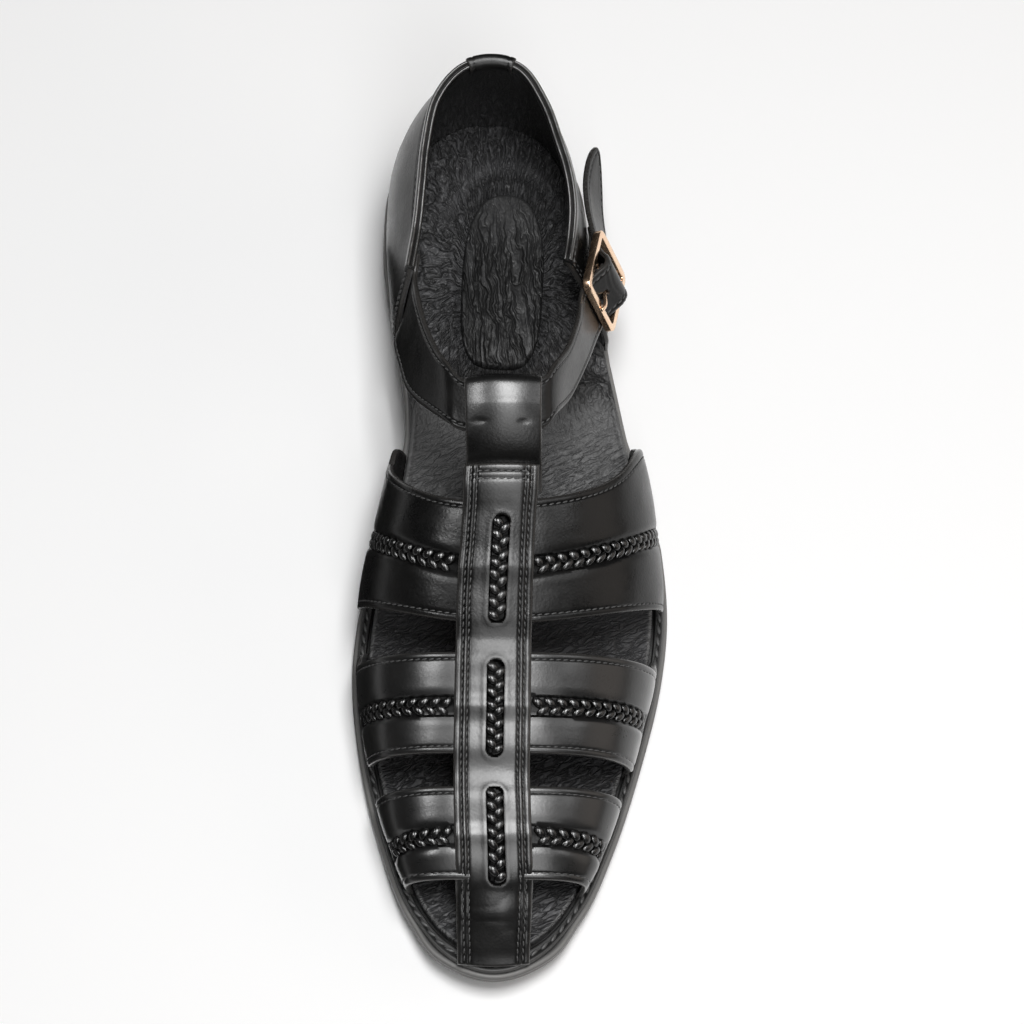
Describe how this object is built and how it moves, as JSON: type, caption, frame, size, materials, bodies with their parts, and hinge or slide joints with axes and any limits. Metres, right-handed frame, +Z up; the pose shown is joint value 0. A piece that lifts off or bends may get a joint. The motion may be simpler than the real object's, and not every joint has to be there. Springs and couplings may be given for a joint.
{
  "type": "strappy sandal",
  "caption": "Strappy black leather sandal with a closed heel, plaited cross straps joined by a centre strip, a buckled ankle strap and a low heel; holds a left foot",
  "frame": {"origin": "centre of the bottom of the bounding box, on the floor under the sole", "axes": "+X to the outer side of the foot, +Y to the heel, -Y to the toe, +Z up"},
  "size_m": [0.1029, 0.298, 0.0928],
  "materials": {
    "upper": "smooth semi-gloss",
    "insole": "matte creased",
    "plait": "semi-matte",
    "welt": "semi-matte",
    "sole": "matte",
    "buckle": "polished"
  },
  "bodies": {
    "root": {"outsole": "sole", "heel": "sole", "welt": "welt", "insole": "insole", "heel_pad": "insole", "vamp": "upper", "instep_loop": "upper", "counter": "upper", "topline_binding": "upper", "pull_tab": "upper", "ankle_strap": "upper", "buckle_strap": "upper", "buckle_frame": "buckle", "buckle_prong": "buckle", "instep_strip_braid": "plait", "ball_strip_braid": "plait", "toe_strip_braid": "plait", "instep_medial_braid": "plait", "instep_lateral_braid": "plait", "ball_medial_braid": "plait", "ball_lateral_braid": "plait", "toe_medial_braid": "plait", "toe_lateral_braid": "plait"}
  },
  "joints": []
}
